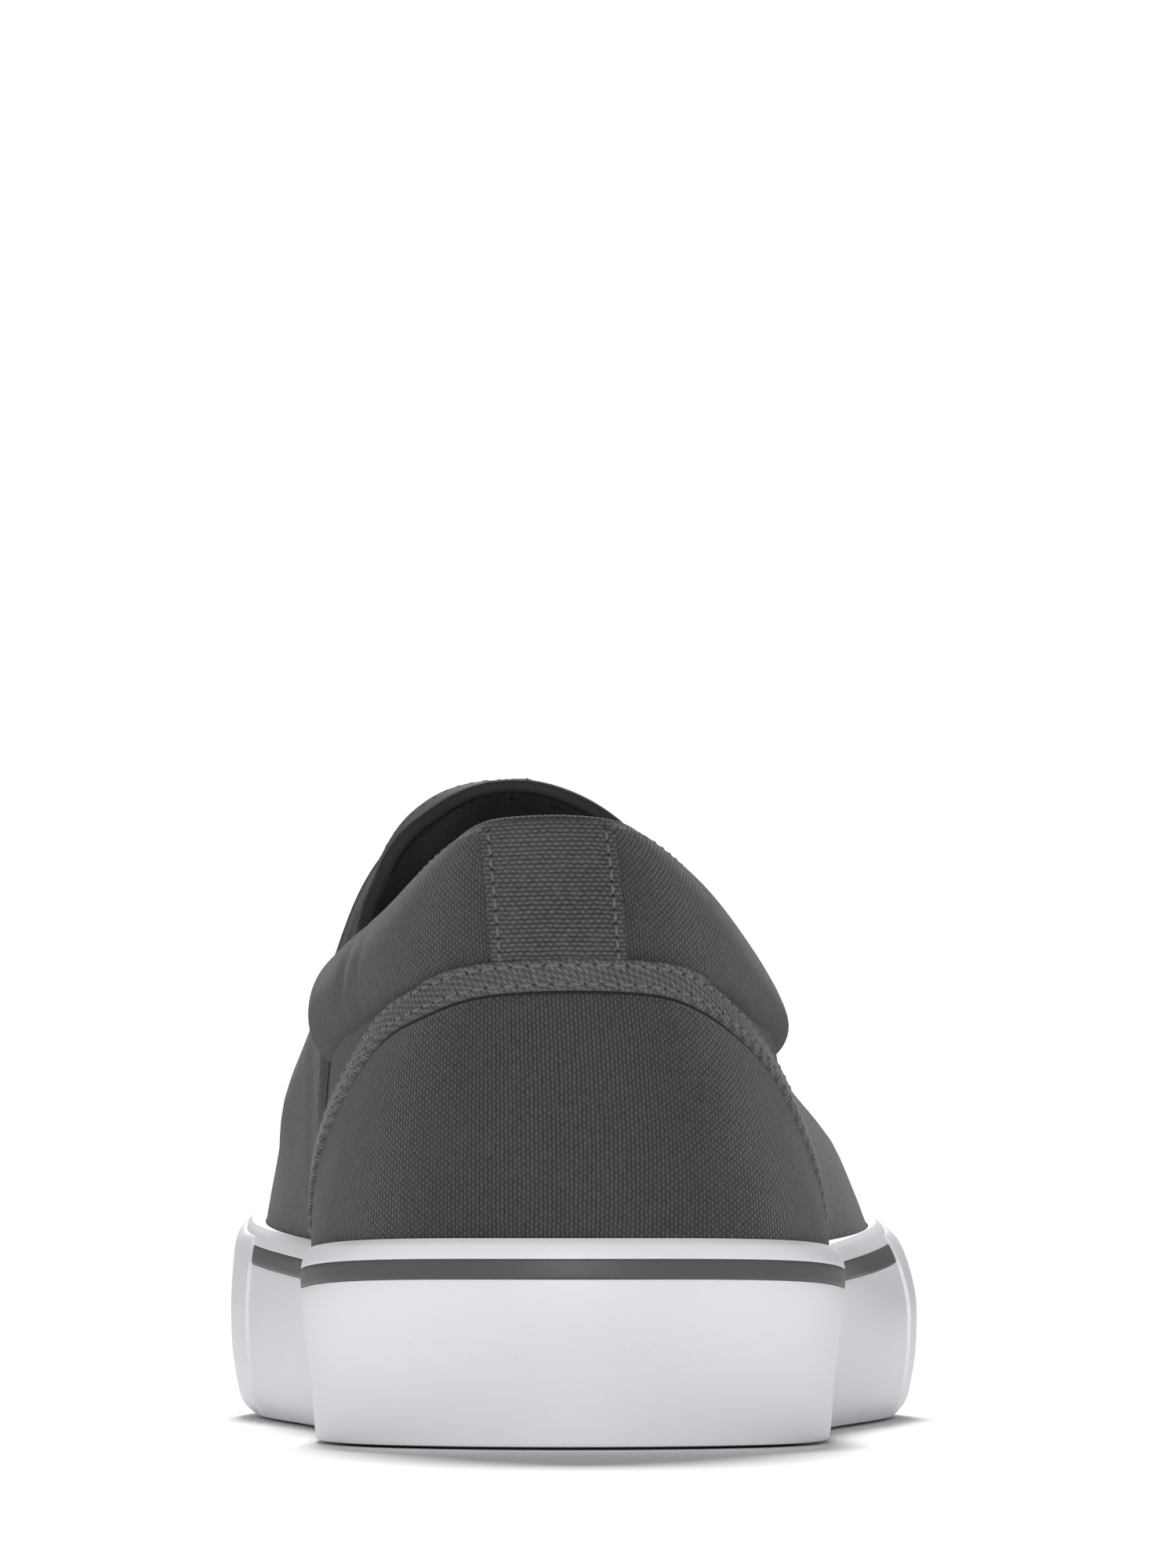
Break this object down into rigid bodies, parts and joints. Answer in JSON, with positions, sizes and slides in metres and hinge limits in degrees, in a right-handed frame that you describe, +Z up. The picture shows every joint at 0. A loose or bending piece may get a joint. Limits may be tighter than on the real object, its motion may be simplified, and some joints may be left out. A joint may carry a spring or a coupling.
{
  "type": "slip-on sneaker",
  "caption": "Canvas slip-on sneaker for the right foot, with a padded collar, taped heel panel, elastic gores, white rubber cup sole and a dark line round its sidewall.",
  "frame": {"origin": "middle of the sole's box, on the floor that the shoe stands on", "axes": "+Y from heel to toe, +X to the outer side of this right shoe, +Z up"},
  "size_m": [0.1133, 0.3, 0.102],
  "materials": {
    "canvas": "washed dark grey canvas",
    "tape": "dark grey twill tape and webbing",
    "elastic": "grey ribbed elastic",
    "footbed": "near black lining cloth",
    "white_rubber": "semi-matt white rubber",
    "grey_rubber": "semi-matt grey rubber",
    "tread_rubber": "matt dark rubber"
  },
  "bodies": {
    "root": {"outsole": "tread_rubber", "midsole": "white_rubber", "foxing_stripe": "grey_rubber", "toe_bumper": "white_rubber", "insole": "footbed", "upper": "canvas", "gore_outer": "elastic", "gore_inner": "elastic", "heel_counter": "canvas", "counter_tape": "tape", "heel_strip": "tape"}
  },
  "joints": []
}
